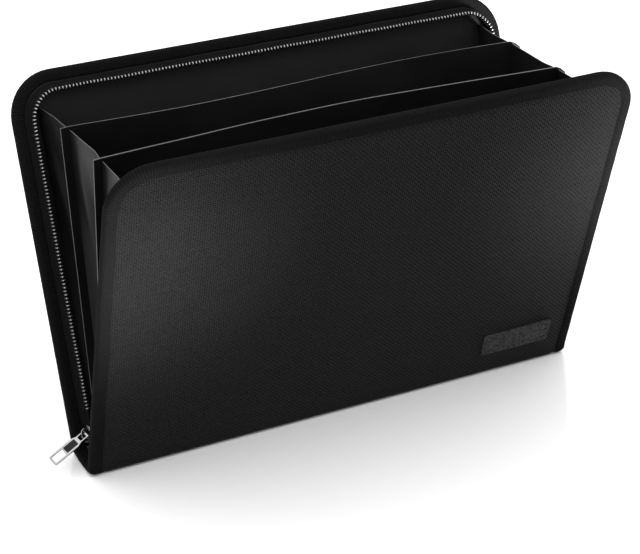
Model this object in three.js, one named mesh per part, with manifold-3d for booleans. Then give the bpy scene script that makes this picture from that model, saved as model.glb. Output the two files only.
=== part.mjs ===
// Expanding file folder with a zip round three sides, standing open in a V on its spine.
// Millimetres, +Z up, +X along the spine, +Y towards the back cover. The origin is the middle of
// the spine's underside. Two stiff covers lean apart, two dividers stand between them, and pleated
// gussets close the pockets at both ends.
import * as THREE from "three";
import { mergeVertices } from "three/addons/utils/BufferGeometryUtils.js";
import Module from "manifold-3d";

const wasm = await Module();
wasm.setup();

const radians = THREE.MathUtils.degToRad;

// Overall sizes
const COVER_WIDTH = 350;
const COVER_HEIGHT = 237;
const CORNER_RADIUS = 29;
const LOWER_RADIUS = 5;
const SPINE_DEPTH = 35;

// How far each leaf leans from upright, positive towards the back
const BACK_LEAN = 21;
const REAR_DIVIDER_LEAN = 9;
const FRONT_DIVIDER_LEAN = -3;
const FRONT_LEAN = -15;

// Layers of a cover and of the spine
const LAYER_GAP = 0.3;
const BINDING_WALL = 0.8;
const FABRIC_WALL = 1;
const BOARD_WALL = 2.2;
const LINING_WALL = 0.8;
const BINDING_WIDTH = 7.5;
const SPINE_CORNER_RADIUS = 3;

// Dividers: a sheet whose side edges pass the gussets as narrow flanges
const DIVIDER_WALL = 1;
const DIVIDER_HEIGHT = 212;
const DIVIDER_FOOT_SPREAD = 11.6;
const POCKET_INSET = 19.5;
const FLANGE_WIDTH = 5.5;
const REAR_DIVIDER_WAVE = 3;
const FRONT_DIVIDER_BOW = 5;

// Gussets: one sheet for each end of each pocket, with a crease that points inwards
const GUSSET_WALL = 0.8;
const GUSSET_COVER_INSET = 16.4;
const GUSSET_COVER_RISE = 4;
const GUSSET_DIVIDER_DROP = 2;
const GUSSET_FOOT = 2;
const GUSSET_SLACK = 1.02;

// Zip: a tape that stands off each cover's inner edge, with a row of teeth on its free edge
const TAPE_FOOT_INSET = 6.5;
const TAPE_WALL = 0.9;
const TEETH_INSET = 10.5;
const TEETH_WIDTH = 2.4;
const TEETH_DEPTH = 2.4;
const TEETH_CLEARANCE = 0.8;
const TOOTH_STEP = 3.4;
const TOOTH_WAIST = 0.5;
const ZIP_FOOT = 2;

// Zip slider with its bridge and pull, on the left teeth row
const SLIDER_LENGTH = 10;
const SLIDER_WIDTH = 7;
const SLIDER_TAPER = 1.2;
const SLIDER_PLATE = 1.2;
const SLIDER_CHANNEL = 3.4;
const SLIDER_FOOT = 3.6;
const SLIDER_POST = 1;
const SLIDER_POST_LENGTH = 2.6;
const BRIDGE_WIDTH = 1.3;
const BRIDGE_LENGTH = 8;
const BRIDGE_WALL = 1.3;
const BRIDGE_GAP = 3.8;
const PULL_LENGTH = 28;
const PULL_WIDTH = 7.6;
const PULL_NECK_WIDTH = 5.4;
const PULL_NECK_LENGTH = 6.5;
const PULL_WALL = 1.3;
const PULL_BAR = 1.4;
const PULL_RIM = 1.3;
const PULL_SLOT_LENGTH = 4.6;
const PULL_SLOT_WIDTH = 3.4;
const PULL_WINDOW_LENGTH = 8.5;
const PULL_CORNER = 1;
const PULL_DROOP = 26;
const PULL_TWIST = 45;

// Label patch on the front cover
const LABEL_WIDTH = 52;
const LABEL_HEIGHT = 18;
const LABEL_WALL = 1.2;
const LABEL_CORNER = 1.5;
const LABEL_SIDE_INSET = 20;
const LABEL_FOOT = 20;

// Places that follow from the sizes
const ARC_STEPS = 4;
const WELD = 1e-4;
const POCKET_WIDTH = COVER_WIDTH - 2 * POCKET_INSET;
const BOUND_GAP = BINDING_WALL + LAYER_GAP;
const FABRIC_DEPTH = BOUND_GAP;
const BOARD_DEPTH = FABRIC_DEPTH + FABRIC_WALL + LAYER_GAP;
const LINING_DEPTH = BOARD_DEPTH + BOARD_WALL + LAYER_GAP;
const LINING_FACE = LINING_DEPTH + LINING_WALL;
const COVER_THICKNESS = LINING_FACE + LAYER_GAP + BINDING_WALL;
const SPINE_BOARD_FOOT = FABRIC_WALL + LAYER_GAP;
const SPINE_LINING_FOOT = SPINE_BOARD_FOOT + BOARD_WALL + LAYER_GAP;
const SPINE_TOP = SPINE_LINING_FOOT + LINING_WALL;
const HINGE_HEIGHT = SPINE_TOP + LAYER_GAP;
const SPINE_END = COVER_WIDTH / 2;
const MID_DEPTH = SPINE_DEPTH / 2;
const TEETH_TIP = MID_DEPTH - TEETH_CLEARANCE;
const TEETH_ROOT = TEETH_TIP - TEETH_DEPTH;

// Materials
const fabric = new THREE.MeshStandardMaterial({ color: 0x1d1e20, roughness: 0.85, metalness: 0 });
const lining = new THREE.MeshStandardMaterial({ color: 0x2a2b2d, roughness: 0.6, metalness: 0 });
const board = new THREE.MeshStandardMaterial({ color: 0x8a7f6c, roughness: 0.9, metalness: 0 });
const binding = new THREE.MeshStandardMaterial({ color: 0x17181a, roughness: 0.9, metalness: 0 });
const tape = new THREE.MeshStandardMaterial({ color: 0x141517, roughness: 0.9, metalness: 0 });
const film = new THREE.MeshStandardMaterial({ color: 0x232426, roughness: 0.5, metalness: 0 });
const teethMetal = new THREE.MeshStandardMaterial({ color: 0xc9cbce, roughness: 0.3, metalness: 1 });
const polished = new THREE.MeshStandardMaterial({ color: 0xd8dadc, roughness: 0.15, metalness: 1 });
const rubber = new THREE.MeshStandardMaterial({ color: 0x202124, roughness: 0.7, metalness: 0 });

const folder = new THREE.Group();

function closedSurface(geometry) {
  // Only positions are kept, so that shared corners merge, and the faces are turned outwards.
  const bare = new THREE.BufferGeometry();
  bare.setAttribute("position", geometry.getAttribute("position"));
  bare.setIndex(geometry.index);
  const merged = mergeVertices(bare, WELD);
  const index = merged.index.array;
  const spots = merged.getAttribute("position");
  const a = new THREE.Vector3();
  const b = new THREE.Vector3();
  const c = new THREE.Vector3();
  let volume = 0;
  for (let i = 0; i < index.length; i += 3) {
    a.fromBufferAttribute(spots, index[i]);
    b.fromBufferAttribute(spots, index[i + 1]);
    c.fromBufferAttribute(spots, index[i + 2]);
    volume += a.dot(b.cross(c));
  }
  if (volume < 0) {
    for (let i = 0; i < index.length; i += 3) {
      const first = index[i];
      index[i] = index[i + 1];
      index[i + 1] = first;
    }
  }
  merged.computeVertexNormals();
  return merged;
}

function reshaped(geometry, move) {
  // Every corner of the geometry goes where move puts it.
  const spots = geometry.getAttribute("position");
  const spot = new THREE.Vector3();
  for (let i = 0; i < spots.count; i += 1) {
    spot.fromBufferAttribute(spots, i);
    move(spot);
    spots.setXYZ(i, spot.x, spot.y, spot.z);
  }
  return closedSurface(geometry);
}

function solidOf(geometry) {
  const surface = closedSurface(geometry);
  const mesh = new wasm.Mesh({
    numProp: 3,
    vertProperties: new Float32Array(surface.getAttribute("position").array),
    triVerts: new Uint32Array(surface.index.array),
  });
  return new wasm.Manifold(mesh);
}

function geometryOf(solid) {
  const mesh = solid.getMesh();
  const geometry = new THREE.BufferGeometry();
  geometry.setAttribute("position", new THREE.BufferAttribute(mesh.vertProperties, 3));
  geometry.setIndex(new THREE.BufferAttribute(mesh.triVerts, 1));
  return closedSurface(geometry);
}

function addPiece(parent, name, geometry, material) {
  const mesh = new THREE.Mesh(geometry, material);
  mesh.name = name;
  parent.add(mesh);
  return mesh;
}

function extruded(shape, depth, steps = 1) {
  return new THREE.ExtrudeGeometry(shape, {
    depth,
    steps,
    curveSegments: ARC_STEPS,
    bevelEnabled: false,
  });
}

function roundedRectangle(left, foot, right, top, radius) {
  const shape = new THREE.Shape();
  shape.absarc(right - radius, foot + radius, radius, -Math.PI / 2, 0, false);
  shape.absarc(right - radius, top - radius, radius, 0, Math.PI / 2, false);
  shape.absarc(left + radius, top - radius, radius, Math.PI / 2, Math.PI, false);
  shape.absarc(left + radius, foot + radius, radius, Math.PI, Math.PI * 1.5, false);
  return shape;
}

// Covers

function coverOutline(inset) {
  const half = COVER_WIDTH / 2 - inset;
  const top = COVER_HEIGHT - inset;
  const corner = CORNER_RADIUS - inset;
  const shape = new THREE.Shape();
  shape.absarc(half - LOWER_RADIUS, LOWER_RADIUS, LOWER_RADIUS, -Math.PI / 2, 0, false);
  shape.absarc(half - corner, top - corner, corner, 0, Math.PI / 2, false);
  shape.absarc(corner - half, top - corner, corner, Math.PI / 2, Math.PI, false);
  shape.absarc(LOWER_RADIUS - half, LOWER_RADIUS, LOWER_RADIUS, Math.PI, Math.PI * 1.5, false);
  return shape;
}

function plate(shape, depth, wall, side) {
  // A flat layer of a cover, depth inwards from the cover's outer face. side is 1 at the back.
  return reshaped(extruded(shape, wall), (spot) => {
    spot.set(spot.x, -side * (depth + spot.z), spot.y);
  });
}

function edgeStations(foot, spacing) {
  // Points round a cover's edge, from the left foot over the top to the right foot, each with the
  // direction that points inwards in the cover's plane.
  const half = COVER_WIDTH / 2;
  const shoulder = COVER_HEIGHT - CORNER_RADIUS;
  const reach = half - CORNER_RADIUS;
  const sideSteps = Math.ceil((shoulder - foot) / spacing);
  const cornerSteps = Math.max(ARC_STEPS * 2, Math.ceil((CORNER_RADIUS - TEETH_INSET) * Math.PI / 2 / spacing));
  const topSteps = Math.ceil(2 * reach / spacing);
  const stations = [];
  for (let i = 0; i < sideSteps; i += 1) {
    const height = foot + (shoulder - foot) * i / sideSteps;
    stations.push({ x: -half, height, inX: 1, inZ: 0 });
  }
  for (let i = 0; i < cornerSteps; i += 1) {
    const turn = Math.PI / 2 * i / cornerSteps;
    const inX = Math.cos(turn);
    const inZ = -Math.sin(turn);
    stations.push({ x: -reach - CORNER_RADIUS * inX, height: shoulder - CORNER_RADIUS * inZ, inX, inZ });
  }
  for (let i = 0; i < topSteps; i += 1) {
    stations.push({ x: -reach + 2 * reach * i / topSteps, height: COVER_HEIGHT, inX: 0, inZ: -1 });
  }
  for (let i = 0; i < cornerSteps; i += 1) {
    const turn = Math.PI / 2 * i / cornerSteps;
    const inX = -Math.sin(turn);
    const inZ = -Math.cos(turn);
    stations.push({ x: reach - CORNER_RADIUS * inX, height: shoulder - CORNER_RADIUS * inZ, inX, inZ });
  }
  for (let i = 0; i <= sideSteps; i += 1) {
    const height = shoulder - (shoulder - foot) * i / sideSteps;
    stations.push({ x: half, height, inX: -1, inZ: 0 });
  }
  return stations;
}

function edgeSweep(profile, stations, side, vary = (spot) => spot) {
  // The profile's x is the inset from the cover's edge and its y the depth from the outer face.
  const last = stations.length - 1;
  return reshaped(extruded(profile, last, last), (spot) => {
    const order = Math.round(spot.z);
    const station = stations[order];
    vary(spot, order);
    const inset = spot.x;
    const depth = spot.y;
    const x = station.x + station.inX * inset;
    const height = station.height + station.inZ * inset;
    spot.set(x, -side * depth, height);
  });
}

function bindingProfile() {
  // A channel of tape folded over the cover's edge.
  const inner = LINING_FACE + LAYER_GAP;
  return new THREE.Shape([
    new THREE.Vector2(0, 0),
    new THREE.Vector2(BINDING_WIDTH, 0),
    new THREE.Vector2(BINDING_WIDTH, BINDING_WALL),
    new THREE.Vector2(BINDING_WALL, BINDING_WALL),
    new THREE.Vector2(BINDING_WALL, inner),
    new THREE.Vector2(BINDING_WIDTH, inner),
    new THREE.Vector2(BINDING_WIDTH, COVER_THICKNESS),
    new THREE.Vector2(0, COVER_THICKNESS),
  ]);
}

function tapeProfile() {
  // A narrow strip from the binding's inner face to the teeth.
  const foot = COVER_THICKNESS + LAYER_GAP;
  const edge = TEETH_ROOT - LAYER_GAP;
  return new THREE.Shape([
    new THREE.Vector2(TAPE_FOOT_INSET, foot),
    new THREE.Vector2(TAPE_FOOT_INSET + TAPE_WALL, foot),
    new THREE.Vector2(TEETH_INSET + TAPE_WALL / 2, edge),
    new THREE.Vector2(TEETH_INSET - TAPE_WALL / 2, edge),
  ]);
}

function teethProfile() {
  const half = TEETH_WIDTH / 2;
  return new THREE.Shape([
    new THREE.Vector2(TEETH_INSET - half, TEETH_ROOT),
    new THREE.Vector2(TEETH_INSET + half, TEETH_ROOT),
    new THREE.Vector2(TEETH_INSET + half, TEETH_TIP),
    new THREE.Vector2(TEETH_INSET - half, TEETH_TIP),
  ]);
}

function narrowEverySecond(spot, order) {
  // Wide and narrow stations alternate, which leaves a row of teeth.
  if (order % 2 === 0) return;
  spot.x = TEETH_INSET + (spot.x - TEETH_INSET) * TOOTH_WAIST;
  spot.y = TEETH_ROOT + (spot.y - TEETH_ROOT) * TOOTH_WAIST;
}

function addCover(name, side, lean) {
  const cover = new THREE.Group();
  cover.position.set(0, side * MID_DEPTH, HINGE_HEIGHT);
  cover.rotation.x = -radians(lean);
  folder.add(cover);
  const bound = coverOutline(BOUND_GAP);
  const corners = edgeStations(0, COVER_WIDTH);
  const steps = edgeStations(ZIP_FOOT, TOOTH_STEP);
  const turns = edgeStations(ZIP_FOOT, COVER_WIDTH);
  addPiece(cover, `${name}_cover_fabric`, plate(bound, FABRIC_DEPTH, FABRIC_WALL, side), fabric);
  addPiece(cover, `${name}_cover_board`, plate(bound, BOARD_DEPTH, BOARD_WALL, side), board);
  addPiece(cover, `${name}_cover_lining`, plate(bound, LINING_DEPTH, LINING_WALL, side), lining);
  addPiece(cover, `${name}_cover_binding`, edgeSweep(bindingProfile(), corners, side), binding);
  addPiece(cover, `${name}_zip_tape`, edgeSweep(tapeProfile(), turns, side), tape);
  const teeth = edgeSweep(teethProfile(), steps, side, narrowEverySecond);
  addPiece(cover, `${name}_zip_teeth`, teeth, teethMetal);
  return cover;
}

const backCover = addCover("back", 1, BACK_LEAN);
const frontCover = addCover("front", -1, FRONT_LEAN);

// Spine

function trayProfile(half, wall) {
  // A shallow channel with rounded lower corners, seen along the spine.
  const outer = SPINE_CORNER_RADIUS;
  const inner = outer - wall;
  const top = SPINE_TOP - LAYER_GAP;
  const shape = new THREE.Shape();
  shape.moveTo(half - wall, top);
  shape.absarc(half - outer, outer, inner, 0, -Math.PI / 2, true);
  shape.absarc(outer - half, outer, inner, -Math.PI / 2, -Math.PI, true);
  shape.lineTo(wall - half, top);
  shape.lineTo(-half, top);
  shape.absarc(outer - half, outer, outer, Math.PI, Math.PI * 1.5, false);
  shape.absarc(half - outer, outer, outer, -Math.PI / 2, 0, false);
  shape.lineTo(half, top);
  return shape;
}

function alongSpine(profile, from, to) {
  return reshaped(extruded(profile, to - from), (spot) => {
    spot.set(from + spot.z, spot.x, spot.y);
  });
}

function spineLayer(half, foot, wall, end) {
  const geometry = new THREE.BoxGeometry(2 * end, 2 * half, wall);
  geometry.translate(0, 0, foot + wall / 2);
  return closedSurface(geometry);
}

const fabricEnd = SPINE_END - BINDING_WIDTH;
const spineFabric = trayProfile(MID_DEPTH - FABRIC_DEPTH, FABRIC_WALL);
const spineBinding = trayProfile(MID_DEPTH, BINDING_WALL);
const boardHalf = MID_DEPTH - FABRIC_DEPTH - FABRIC_WALL - LAYER_GAP - SPINE_CORNER_RADIUS / 4;
const boardEnd = SPINE_END - BOUND_GAP;
addPiece(folder, "spine_fabric", alongSpine(spineFabric, -fabricEnd, fabricEnd), fabric);
addPiece(folder, "spine_board", spineLayer(boardHalf, SPINE_BOARD_FOOT, BOARD_WALL, boardEnd), board);
addPiece(folder, "spine_lining", spineLayer(boardHalf, SPINE_LINING_FOOT, LINING_WALL, boardEnd), lining);
addPiece(
  folder,
  "left_spine_binding",
  alongSpine(spineBinding, -SPINE_END, -fabricEnd - LAYER_GAP),
  binding,
);
addPiece(
  folder,
  "right_spine_binding",
  alongSpine(spineBinding, fabricEnd + LAYER_GAP, SPINE_END),
  binding,
);

// Dividers

function addDivider(name, side, lean, bulge) {
  const divider = new THREE.Group();
  divider.position.set(0, side * DIVIDER_FOOT_SPREAD / 2, HINGE_HEIGHT);
  divider.rotation.x = -radians(lean);
  folder.add(divider);
  const across = POCKET_WIDTH + 2 * FLANGE_WIDTH;
  const sheet = new THREE.BoxGeometry(across, DIVIDER_WALL, DIVIDER_HEIGHT, 16, 1, 4);
  const shaped = reshaped(sheet, (spot) => {
    spot.z += DIVIDER_HEIGHT / 2;
    const rise = Math.max(spot.z / DIVIDER_HEIGHT, 0) ** 1.5;
    const along = THREE.MathUtils.clamp(spot.x / (POCKET_WIDTH / 2), -1, 1);
    spot.y += bulge(along) * rise;
  });
  addPiece(divider, name, shaped, film);
}

addDivider("rear_divider", 1, REAR_DIVIDER_LEAN, (along) => REAR_DIVIDER_WAVE * Math.sin(Math.PI * along));
addDivider("front_divider", -1, FRONT_DIVIDER_LEAN, (along) => FRONT_DIVIDER_BOW * Math.cos(Math.PI / 2 * along));

// Gussets

const coverFace = LINING_FACE + LAYER_GAP + GUSSET_WALL / 2;
const dividerFace = DIVIDER_WALL / 2 + LAYER_GAP + GUSSET_WALL / 2;
const coverTop = DIVIDER_HEIGHT + GUSSET_COVER_RISE;
const dividerTop = DIVIDER_HEIGHT - GUSSET_DIVIDER_DROP;
const coverReach = COVER_WIDTH / 2 - GUSSET_COVER_INSET;
const dividerReach = POCKET_WIDTH / 2;
const dividerFoot = DIVIDER_FOOT_SPREAD / 2;
const leaves = {
  back: { foot: MID_DEPTH, lean: BACK_LEAN, offset: coverFace, reach: coverReach, top: coverTop },
  rear: { foot: dividerFoot, lean: REAR_DIVIDER_LEAN, offset: dividerFace, reach: dividerReach, top: dividerTop },
  middle: { foot: -dividerFoot, lean: FRONT_DIVIDER_LEAN, offset: dividerFace, reach: dividerReach, top: dividerTop },
  front: { foot: -MID_DEPTH, lean: FRONT_LEAN, offset: coverFace, reach: coverReach, top: coverTop },
};

function leafPoint(leaf, up, facing) {
  // A point on the face of a leaf, facing 1 for the face towards the back.
  const lean = radians(leaf.lean);
  const offset = facing * leaf.offset;
  const y = leaf.foot + up * Math.sin(lean) + offset * Math.cos(lean);
  const z = HINGE_HEIGHT + up * Math.cos(lean) - offset * Math.sin(lean);
  return new THREE.Vector3(leaf.reach, y, z);
}

function meetingPoint(rear, front) {
  // Below the spine, where the faces of two leaves would meet. The gusset is a fan from there.
  const a = leafPoint(rear, 0, -1);
  const b = leafPoint(front, 0, 1);
  const along = radians(rear.lean);
  const beside = radians(front.lean);
  const turn = Math.sin(along - beside);
  const run = ((b.y - a.y) * Math.cos(beside) - (b.z - a.z) * Math.sin(beside)) / turn;
  return new THREE.Vector3(dividerReach, a.y + run * Math.sin(along), a.z + run * Math.cos(along));
}

function gussetGeometry(rear, front, side) {
  // Two flat halves that meet at an inward crease. Each is a little wider than half the opening.
  const start = leafPoint(rear, rear.top, -1);
  const end = leafPoint(front, front.top, 1);
  const half = start.distanceTo(end) / 2;
  const crease = start.clone().add(end).multiplyScalar(0.5);
  crease.x -= half * Math.sqrt(GUSSET_SLACK ** 2 - 1);
  const apex = meetingPoint(rear, front);
  const foot = leafPoint(rear, GUSSET_FOOT, -1).distanceTo(leafPoint(rear, 0, -1));
  const toFoot = leafPoint(rear, 0, -1).setX(0).distanceTo(apex.clone().setX(0)) + foot;
  const toTop = start.clone().setX(0).distanceTo(apex.clone().setX(0));
  const across = end.clone().sub(start).setX(0).normalize();
  const normalOf = (from, to) => {
    const run = to.clone().sub(from);
    const along = run.dot(across);
    const length = Math.hypot(run.x, along);
    return new THREE.Vector2(along / length, -run.x / length);
  };
  const first = normalOf(start, crease);
  const second = normalOf(crease, end);
  const middle = first.clone().add(second).normalize();
  middle.multiplyScalar(1 / middle.dot(first));
  const tops = [start, crease, end];
  const normals = [first, middle, second];
  const sheet = new THREE.BoxGeometry(1, 1, 1, 2, 1, 1);
  return reshaped(sheet, (spot) => {
    const order = Math.round(spot.x * 2) + 1;
    const share = spot.z > 0 ? 1 : toFoot / toTop;
    const moved = apex.clone().lerp(tops[order], share);
    const shift = side * spot.y * GUSSET_WALL;
    moved.addScaledVector(across, normals[order].y * shift);
    moved.x += normals[order].x * shift;
    spot.set(side * moved.x, moved.y, moved.z);
  });
}

for (const [end, side] of [["left", -1], ["right", 1]]) {
  addPiece(folder, `${end}_rear_gusset`, gussetGeometry(leaves.back, leaves.rear, side), film);
  addPiece(folder, `${end}_middle_gusset`, gussetGeometry(leaves.rear, leaves.middle, side), film);
  addPiece(folder, `${end}_front_gusset`, gussetGeometry(leaves.middle, leaves.front, side), film);
}

// Zip slider and pull

const rowX = TEETH_INSET - COVER_WIDTH / 2;
const plateInner = SLIDER_CHANNEL / 2;
const plateOuter = plateInner + SLIDER_PLATE;
const pivotX = rowX - plateOuter - BRIDGE_GAP / 2;
const pivotHeight = SLIDER_FOOT + SLIDER_LENGTH / 2;

function sliderOutline() {
  // A shield, wider where the two rows part.
  const wide = SLIDER_WIDTH / 2;
  const narrow = wide - SLIDER_TAPER;
  const middle = SLIDER_LENGTH / 2;
  return new THREE.Shape([
    new THREE.Vector2(-narrow, 0),
    new THREE.Vector2(narrow, 0),
    new THREE.Vector2(wide, middle),
    new THREE.Vector2(wide, SLIDER_LENGTH - SLIDER_TAPER),
    new THREE.Vector2(wide - SLIDER_TAPER, SLIDER_LENGTH),
    new THREE.Vector2(SLIDER_TAPER - wide, SLIDER_LENGTH),
    new THREE.Vector2(-wide, SLIDER_LENGTH - SLIDER_TAPER),
    new THREE.Vector2(-wide, middle),
  ]);
}

function sliderPlate(from, to) {
  // A plate across X between two distances from the teeth row.
  return reshaped(extruded(sliderOutline(), to - from), (spot) => {
    spot.set(rowX + from + spot.z, spot.x - MID_DEPTH, SLIDER_FOOT + spot.y);
  });
}

function bridgeShape() {
  // An arch over the outer plate. Its x is the distance outwards, its y the height on the slider.
  const half = BRIDGE_LENGTH / 2;
  const hole = half - BRIDGE_WALL;
  const reach = BRIDGE_GAP + BRIDGE_WALL;
  return new THREE.Shape([
    new THREE.Vector2(-SLIDER_PLATE / 2, -half),
    new THREE.Vector2(BRIDGE_GAP, -half),
    new THREE.Vector2(reach, -hole),
    new THREE.Vector2(reach, hole),
    new THREE.Vector2(BRIDGE_GAP, half),
    new THREE.Vector2(-SLIDER_PLATE / 2, half),
    new THREE.Vector2(-SLIDER_PLATE / 2, hole),
    new THREE.Vector2(BRIDGE_GAP, hole),
    new THREE.Vector2(BRIDGE_GAP, -hole),
    new THREE.Vector2(-SLIDER_PLATE / 2, -hole),
  ]);
}

function sliderGeometry() {
  const outerPlate = solidOf(sliderPlate(-plateOuter, -plateInner));
  const innerPlate = solidOf(sliderPlate(plateInner, plateOuter));
  const postBox = new THREE.BoxGeometry(2 * plateInner + SLIDER_PLATE, SLIDER_POST, SLIDER_POST_LENGTH);
  const postTop = SLIDER_FOOT + SLIDER_LENGTH - SLIDER_TAPER / 2;
  postBox.translate(rowX, -MID_DEPTH, postTop - SLIDER_POST_LENGTH / 2);
  const bridge = reshaped(extruded(bridgeShape(), BRIDGE_WIDTH), (spot) => {
    const across = spot.z - BRIDGE_WIDTH / 2 - MID_DEPTH;
    spot.set(rowX - plateOuter - spot.x, across, pivotHeight + spot.y);
  });
  return geometryOf(outerPlate.add(innerPlate).add(solidOf(postBox)).add(solidOf(bridge)));
}

function pullGeometry() {
  // A flat frame with a slot for the bridge in its narrow neck and a window at its far end. It is
  // drawn lying along X, turned about its length, and then turned down about its near bar.
  const near = -PULL_BAR / 2;
  const far = near + PULL_LENGTH;
  const half = PULL_WIDTH / 2;
  const neck = PULL_NECK_WIDTH / 2;
  const shoulder = near + PULL_NECK_LENGTH;
  const shape = new THREE.Shape([
    new THREE.Vector2(near, -neck),
    new THREE.Vector2(shoulder, -neck),
    new THREE.Vector2(shoulder + PULL_BAR * 2, -half),
    new THREE.Vector2(far - PULL_CORNER, -half),
    new THREE.Vector2(far, PULL_CORNER - half),
    new THREE.Vector2(far, half - PULL_CORNER),
    new THREE.Vector2(far - PULL_CORNER, half),
    new THREE.Vector2(shoulder + PULL_BAR * 2, half),
    new THREE.Vector2(shoulder, neck),
    new THREE.Vector2(near, neck),
  ]);
  const slotHalf = PULL_SLOT_WIDTH / 2;
  const slotStart = PULL_BAR / 2;
  const slotEnd = slotStart + PULL_SLOT_LENGTH;
  const windowEnd = far - PULL_RIM;
  const windowStart = windowEnd - PULL_WINDOW_LENGTH;
  shape.holes.push(roundedRectangle(slotStart, -slotHalf, slotEnd, slotHalf, PULL_RIM / 2));
  shape.holes.push(roundedRectangle(windowStart, PULL_RIM - half, windowEnd, half - PULL_RIM, PULL_RIM / 2));
  const droop = radians(PULL_DROOP);
  const twist = radians(PULL_TWIST);
  return reshaped(extruded(shape, PULL_WALL), (spot) => {
    const along = spot.x;
    const thick = spot.z - PULL_WALL / 2;
    const above = thick * Math.cos(twist) + spot.y * Math.sin(twist);
    const across = spot.y * Math.cos(twist) - thick * Math.sin(twist);
    const x = pivotX - along * Math.cos(droop) - above * Math.sin(droop);
    const z = pivotHeight - along * Math.sin(droop) + above * Math.cos(droop);
    spot.set(x, across - MID_DEPTH, z);
  });
}

addPiece(backCover, "zip_slider", sliderGeometry(), polished);
addPiece(backCover, "zip_pull", pullGeometry(), polished);

// Label patch, in front of the front cover's fabric

function labelGeometry() {
  const right = COVER_WIDTH / 2 - LABEL_SIDE_INSET;
  const foot = LABEL_FOOT - HINGE_HEIGHT;
  const shape = roundedRectangle(right - LABEL_WIDTH, foot, right, foot + LABEL_HEIGHT, LABEL_CORNER);
  return plate(shape, FABRIC_DEPTH - LAYER_GAP - LABEL_WALL, LABEL_WALL, -1);
}

addPiece(frontCover, "label_patch", labelGeometry(), rubber);

export default folder;
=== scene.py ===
"""Looks of the expanding file folder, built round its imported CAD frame. Lengths are in metres."""

import math

import bmesh
import bpy
from bpy.props import FloatProperty, FloatVectorProperty, IntProperty, PointerProperty
from mathutils import Matrix, Vector, noise


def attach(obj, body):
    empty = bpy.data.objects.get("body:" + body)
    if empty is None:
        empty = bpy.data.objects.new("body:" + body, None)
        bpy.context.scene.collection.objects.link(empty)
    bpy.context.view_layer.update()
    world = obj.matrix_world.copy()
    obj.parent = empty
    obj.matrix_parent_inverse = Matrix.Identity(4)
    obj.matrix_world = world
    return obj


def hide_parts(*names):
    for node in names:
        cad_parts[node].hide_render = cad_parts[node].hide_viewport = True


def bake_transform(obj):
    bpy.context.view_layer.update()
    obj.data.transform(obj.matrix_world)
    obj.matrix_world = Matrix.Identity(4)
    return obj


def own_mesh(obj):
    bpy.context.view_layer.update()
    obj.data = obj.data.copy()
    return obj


bl_info = {
    "name": "Expanding file folder",
    "version": (1, 0, 0),
    "blender": (4, 5, 0),
    "location": "3D View > Sidebar > Folder",
    "description": "Builds the cloth, tapes, zip, film and metal of a zip-round expanding file folder",
    "category": "Add Mesh",
}

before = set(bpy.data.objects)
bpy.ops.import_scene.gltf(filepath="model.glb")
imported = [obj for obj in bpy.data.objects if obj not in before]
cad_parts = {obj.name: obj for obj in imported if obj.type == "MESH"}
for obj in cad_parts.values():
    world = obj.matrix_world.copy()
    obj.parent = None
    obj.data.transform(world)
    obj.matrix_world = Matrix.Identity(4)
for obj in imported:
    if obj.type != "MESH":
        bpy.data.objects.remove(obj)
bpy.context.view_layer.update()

# Places that the CAD frame gives
MM = 0.001
HALF_WIDTH = 175 * MM
COVER_HEIGHT = 237 * MM
CORNER = 29 * MM
HINGE_HEIGHT = 4.9 * MM
COVER_THICKNESS = 6.8 * MM
LEANS = {"back": 21.0, "rear": 9.0, "middle": -3.0, "front": -15.0}
FEET = {"back": 17.5 * MM, "rear": 5.8 * MM, "middle": -5.8 * MM, "front": -17.5 * MM}
LEAF_SPACING = 11.6 * MM
SIDES = {"back": 1, "front": -1}
POCKET_HALF = 155.5 * MM
GUSSET_COVER_HALF = 158.6 * MM
DIVIDER_HALF = 161 * MM
DIVIDER_HEIGHT = 212 * MM
UV = "cloth"


# Places on the folder

def leaf_point(leaf, x, out, up):
    """A point out from a leaf's middle plane, towards the back, and up along the leaf."""
    lean = math.radians(LEANS[leaf])
    y = FEET[leaf] + up * math.sin(lean) + out * math.cos(lean)
    z = HINGE_HEIGHT + up * math.cos(lean) - out * math.sin(lean)
    return Vector((x, y, z))


def leaf_normal(leaf):
    lean = math.radians(LEANS[leaf])
    return Vector((0, math.cos(lean), -math.sin(lean)))


def cover_point(cover, x, depth, up):
    """A point on a cover, depth inwards from its outer face."""
    return leaf_point(cover, x, -SIDES[cover] * depth, up)


def smooth(value, low, high):
    share = min(1.0, max(0.0, (value - low) / (high - low)))
    return share * share * (3 - 2 * share)


def mixed(a, b, share):
    return a + (b - a) * share


def ripple(x, y, z, size):
    return noise.noise(Vector((x, y, z)) / size)


# Meshes

def finished_mesh(obj):
    """The object's mesh with its modifiers applied."""
    bpy.context.view_layer.update()
    graph = bpy.context.evaluated_depsgraph_get()
    made = bpy.data.meshes.new_from_object(obj.evaluated_get(graph))
    obj.modifiers.clear()
    obj.data = made
    return obj


def linked(name, mesh, materials):
    mesh.name = name
    obj = bpy.data.objects.new(name, mesh)
    bpy.context.scene.collection.objects.link(obj)
    for material in materials:
        mesh.materials.append(material)
    return obj


def mesh_piece(name, points, faces, materials, marks=None, uvs=None, sharp=None):
    """A mesh with its faces turned outwards. marks gives each face a material, uvs each corner its place."""
    mesh = bpy.data.meshes.new(name)
    mesh.from_pydata([tuple(p) for p in points], [], faces)
    for polygon, mark in zip(mesh.polygons, marks or []):
        polygon.material_index = mark
    if uvs:
        layer = mesh.uv_layers.new(name=UV)
        for polygon, corners in zip(mesh.polygons, uvs):
            for loop, corner in zip(polygon.loop_indices, corners):
                layer.data[loop].uv = corner
    work = bmesh.new()
    work.from_mesh(mesh)
    bmesh.ops.recalc_face_normals(work, faces=work.faces)
    work.to_mesh(mesh)
    work.free()
    mesh.shade_smooth()
    obj = linked(name, mesh, materials)
    mesh.set_sharp_from_angle(angle=math.radians(sharp or 42))
    return obj


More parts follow.
